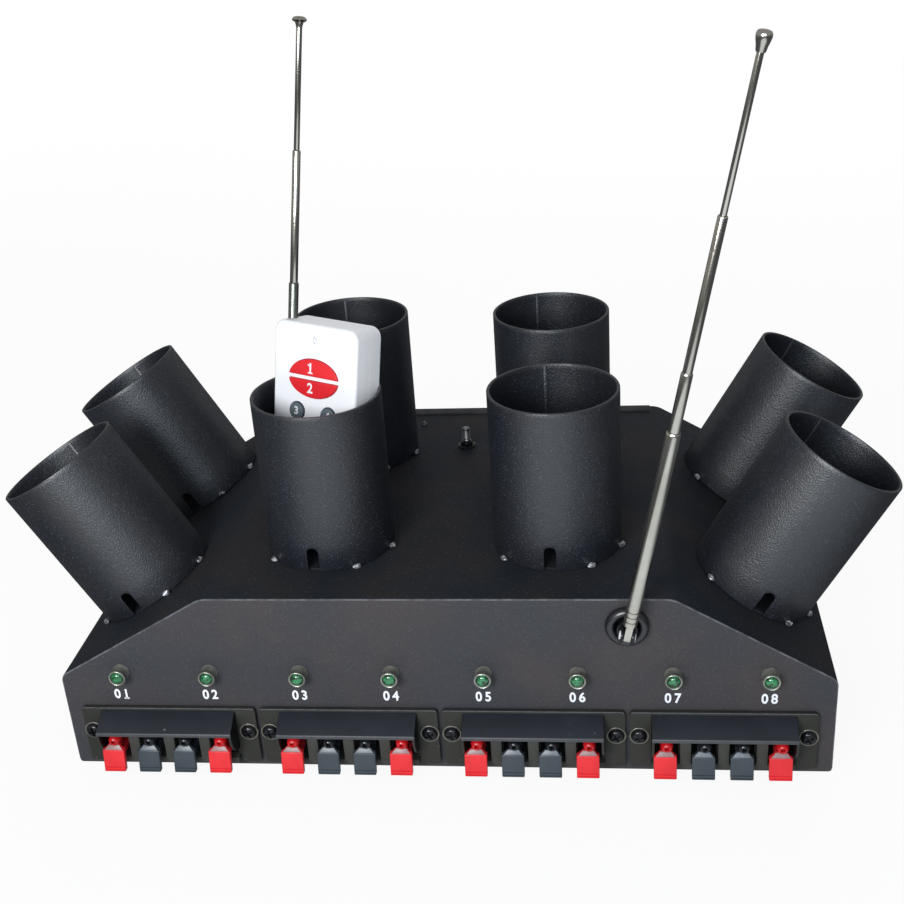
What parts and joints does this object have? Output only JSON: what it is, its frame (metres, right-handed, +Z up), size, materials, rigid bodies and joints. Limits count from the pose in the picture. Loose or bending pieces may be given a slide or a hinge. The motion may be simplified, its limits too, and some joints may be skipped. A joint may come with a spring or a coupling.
{
  "type": "wireless spark cartridge launcher base",
  "caption": "Low folded steel housing that carries open tubes for spark cartridges, with cue lamps, lever terminals, a telescopic antenna and a hand remote parked in one tube.",
  "frame": {"origin": "on the floor, below the middle of the object's box", "axes": "+Z up; -Y is the front, where the terminals and lamps are; +X is to the right seen from the front"},
  "size_m": [0.3662, 0.2006, 0.2916],
  "materials": {
    "black_coat": "black powder coat",
    "tube_coat": "coarse black powder coat",
    "black_plastic": "moulded satin",
    "grey_plastic": "moulded satin",
    "red_plastic": "moulded, slightly glossy",
    "white_plastic": "fine matt",
    "key_grey": "satin",
    "lamp_green": "clear lens in a bright bezel",
    "soft_rubber": "glossy black rubber",
    "nickel": "bright nickel plate",
    "zinc": "zinc plated sheet",
    "battery_case": "plain case",
    "board_green": "solder mask"
  },
  "bodies": {
    "base": {"housing_shell": "black_coat", "base_plate": "zinc", "rubber_foot_1": "soft_rubber", "rubber_foot_2": "soft_rubber", "rubber_foot_3": "soft_rubber", "rubber_foot_4": "soft_rubber", "effect_tube_1": "tube_coat", "effect_tube_2": "tube_coat", "effect_tube_3": "tube_coat", "effect_tube_4": "tube_coat", "effect_tube_5": "tube_coat", "effect_tube_6": "tube_coat", "effect_tube_7": "tube_coat", "effect_tube_8": "tube_coat", "cue_led_1": "lamp_green", "cue_led_2": "lamp_green", "cue_led_3": "lamp_green", "cue_led_4": "lamp_green", "cue_led_5": "lamp_green", "cue_led_6": "lamp_green", "cue_led_7": "lamp_green", "cue_led_8": "lamp_green", "terminal_block_1": "black_plastic", "terminal_block_2": "black_plastic", "terminal_block_3": "black_plastic", "terminal_block_4": "black_plastic", "antenna_grommet": "soft_rubber", "power_switch_body": "black_plastic", "battery_pack": "battery_case", "receiver_board": "board_green"},
    "lever_1": {"terminal_lever_1": "red_plastic"},
    "lever_2": {"terminal_lever_2": "grey_plastic"},
    "lever_3": {"terminal_lever_3": "grey_plastic"},
    "lever_4": {"terminal_lever_4": "red_plastic"},
    "lever_5": {"terminal_lever_5": "red_plastic"},
    "lever_6": {"terminal_lever_6": "grey_plastic"},
    "lever_7": {"terminal_lever_7": "grey_plastic"},
    "lever_8": {"terminal_lever_8": "red_plastic"},
    "lever_9": {"terminal_lever_9": "red_plastic"},
    "lever_10": {"terminal_lever_10": "grey_plastic"},
    "lever_11": {"terminal_lever_11": "grey_plastic"},
    "lever_12": {"terminal_lever_12": "red_plastic"},
    "lever_13": {"terminal_lever_13": "red_plastic"},
    "lever_14": {"terminal_lever_14": "grey_plastic"},
    "lever_15": {"terminal_lever_15": "grey_plastic"},
    "lever_16": {"terminal_lever_16": "red_plastic"},
    "antenna_knuckle": {"antenna_fork": "nickel"},
    "antenna_1": {"antenna_section_1": "nickel"},
    "antenna_2": {"antenna_section_2": "nickel"},
    "antenna_3": {"antenna_section_3": "nickel"},
    "remote": {"remote_front_shell": "white_plastic", "remote_back_shell": "white_plastic", "remote_antenna_section_1": "nickel"},
    "remote_button_1": {"remote_button_1": "red_plastic"},
    "remote_button_2": {"remote_button_2": "red_plastic"},
    "remote_button_3": {"remote_button_3": "key_grey"},
    "remote_button_4": {"remote_button_4": "key_grey"},
    "remote_antenna_2": {"remote_antenna_section_2": "nickel"},
    "remote_antenna_3": {"remote_antenna_section_3": "nickel"},
    "rocker": {"power_rocker": "black_plastic"}
  },
  "joints": [
    {"name": "lever_1_press", "type": "hinge", "parent": "base", "child": "lever_1", "pos_m": [-0.13482, -0.0874, 0.015], "axis": [1, 0, 0], "range_deg": [0, 12], "stiffness_Nm_per_rad": 0.05},
    {"name": "lever_2_press", "type": "hinge", "parent": "base", "child": "lever_2", "pos_m": [-0.11992, -0.0874, 0.015], "axis": [1, 0, 0], "range_deg": [0, 12], "stiffness_Nm_per_rad": 0.05},
    {"name": "lever_3_press", "type": "hinge", "parent": "base", "child": "lever_3", "pos_m": [-0.10502, -0.0874, 0.015], "axis": [1, 0, 0], "range_deg": [0, 12], "stiffness_Nm_per_rad": 0.05},
    {"name": "lever_4_press", "type": "hinge", "parent": "base", "child": "lever_4", "pos_m": [-0.09012, -0.0874, 0.015], "axis": [1, 0, 0], "range_deg": [0, 12], "stiffness_Nm_per_rad": 0.05},
    {"name": "lever_5_press", "type": "hinge", "parent": "base", "child": "lever_5", "pos_m": [-0.05984, -0.0874, 0.015], "axis": [1, 0, 0], "range_deg": [0, 12], "stiffness_Nm_per_rad": 0.05},
    {"name": "lever_6_press", "type": "hinge", "parent": "base", "child": "lever_6", "pos_m": [-0.04494, -0.0874, 0.015], "axis": [1, 0, 0], "range_deg": [0, 12], "stiffness_Nm_per_rad": 0.05},
    {"name": "lever_7_press", "type": "hinge", "parent": "base", "child": "lever_7", "pos_m": [-0.03004, -0.0874, 0.015], "axis": [1, 0, 0], "range_deg": [0, 12], "stiffness_Nm_per_rad": 0.05},
    {"name": "lever_8_press", "type": "hinge", "parent": "base", "child": "lever_8", "pos_m": [-0.01514, -0.0874, 0.015], "axis": [1, 0, 0], "range_deg": [0, 12], "stiffness_Nm_per_rad": 0.05},
    {"name": "lever_9_press", "type": "hinge", "parent": "base", "child": "lever_9", "pos_m": [0.01514, -0.0874, 0.015], "axis": [1, 0, 0], "range_deg": [0, 12], "stiffness_Nm_per_rad": 0.05},
    {"name": "lever_10_press", "type": "hinge", "parent": "base", "child": "lever_10", "pos_m": [0.03004, -0.0874, 0.015], "axis": [1, 0, 0], "range_deg": [0, 12], "stiffness_Nm_per_rad": 0.05},
    {"name": "lever_11_press", "type": "hinge", "parent": "base", "child": "lever_11", "pos_m": [0.04494, -0.0874, 0.015], "axis": [1, 0, 0], "range_deg": [0, 12], "stiffness_Nm_per_rad": 0.05},
    {"name": "lever_12_press", "type": "hinge", "parent": "base", "child": "lever_12", "pos_m": [0.05984, -0.0874, 0.015], "axis": [1, 0, 0], "range_deg": [0, 12], "stiffness_Nm_per_rad": 0.05},
    {"name": "lever_13_press", "type": "hinge", "parent": "base", "child": "lever_13", "pos_m": [0.09012, -0.0874, 0.015], "axis": [1, 0, 0], "range_deg": [0, 12], "stiffness_Nm_per_rad": 0.05},
    {"name": "lever_14_press", "type": "hinge", "parent": "base", "child": "lever_14", "pos_m": [0.10502, -0.0874, 0.015], "axis": [1, 0, 0], "range_deg": [0, 12], "stiffness_Nm_per_rad": 0.05},
    {"name": "lever_15_press", "type": "hinge", "parent": "base", "child": "lever_15", "pos_m": [0.11992, -0.0874, 0.015], "axis": [1, 0, 0], "range_deg": [0, 12], "stiffness_Nm_per_rad": 0.05},
    {"name": "lever_16_press", "type": "hinge", "parent": "base", "child": "lever_16", "pos_m": [0.13482, -0.0874, 0.015], "axis": [1, 0, 0], "range_deg": [0, 12], "stiffness_Nm_per_rad": 0.05},
    {"name": "antenna_swivel", "type": "hinge", "parent": "base", "child": "antenna_knuckle", "pos_m": [0.075, -0.0959, 0.073], "axis": [0, 1, 0], "range_deg": [-101, 78.9]},
    {"name": "antenna_tilt", "type": "hinge", "parent": "antenna_knuckle", "child": "antenna_1", "pos_m": [0.075, -0.0959, 0.073], "axis": [0.9813, 0, -0.1925], "range_deg": [0, 90]},
    {"name": "antenna_slide_2", "type": "slide", "parent": "antenna_1", "child": "antenna_2", "axis": [0.1925, 0, 0.9813], "range_m": [-0.062, 0]},
    {"name": "antenna_slide_3", "type": "slide", "parent": "antenna_2", "child": "antenna_3", "axis": [0.1925, 0, 0.9813], "range_m": [-0.0485, 0]},
    {"name": "remote_lift", "type": "slide", "parent": "base", "child": "remote", "axis": [0.095, 0.1906, 0.9771], "range_m": [0, 0.12]},
    {"name": "button_1_press", "type": "slide", "parent": "remote", "child": "remote_button_1", "axis": [0.436, 0.8744, -0.2129], "range_m": [0, 0.0007], "stiffness_N_per_m": 400},
    {"name": "button_2_press", "type": "slide", "parent": "remote", "child": "remote_button_2", "axis": [0.436, 0.8744, -0.2129], "range_m": [0, 0.0007], "stiffness_N_per_m": 400},
    {"name": "button_3_press", "type": "slide", "parent": "remote", "child": "remote_button_3", "axis": [0.436, 0.8744, -0.2129], "range_m": [0, 0.0007], "stiffness_N_per_m": 400},
    {"name": "button_4_press", "type": "slide", "parent": "remote", "child": "remote_button_4", "axis": [0.436, 0.8744, -0.2129], "range_m": [0, 0.0007], "stiffness_N_per_m": 400},
    {"name": "remote_antenna_slide_2", "type": "slide", "parent": "remote", "child": "remote_antenna_2", "axis": [0.095, 0.1906, 0.9771], "range_m": [-0.053, 0]},
    {"name": "remote_antenna_slide_3", "type": "slide", "parent": "remote_antenna_2", "child": "remote_antenna_3", "axis": [0.095, 0.1906, 0.9771], "range_m": [-0.046, 0]},
    {"name": "power_rocker_tilt", "type": "hinge", "parent": "base", "child": "rocker", "pos_m": [0.10397, 0.0961, 0.028], "axis": [-1, 0, 0], "range_deg": [-16, 0]}
  ]
}
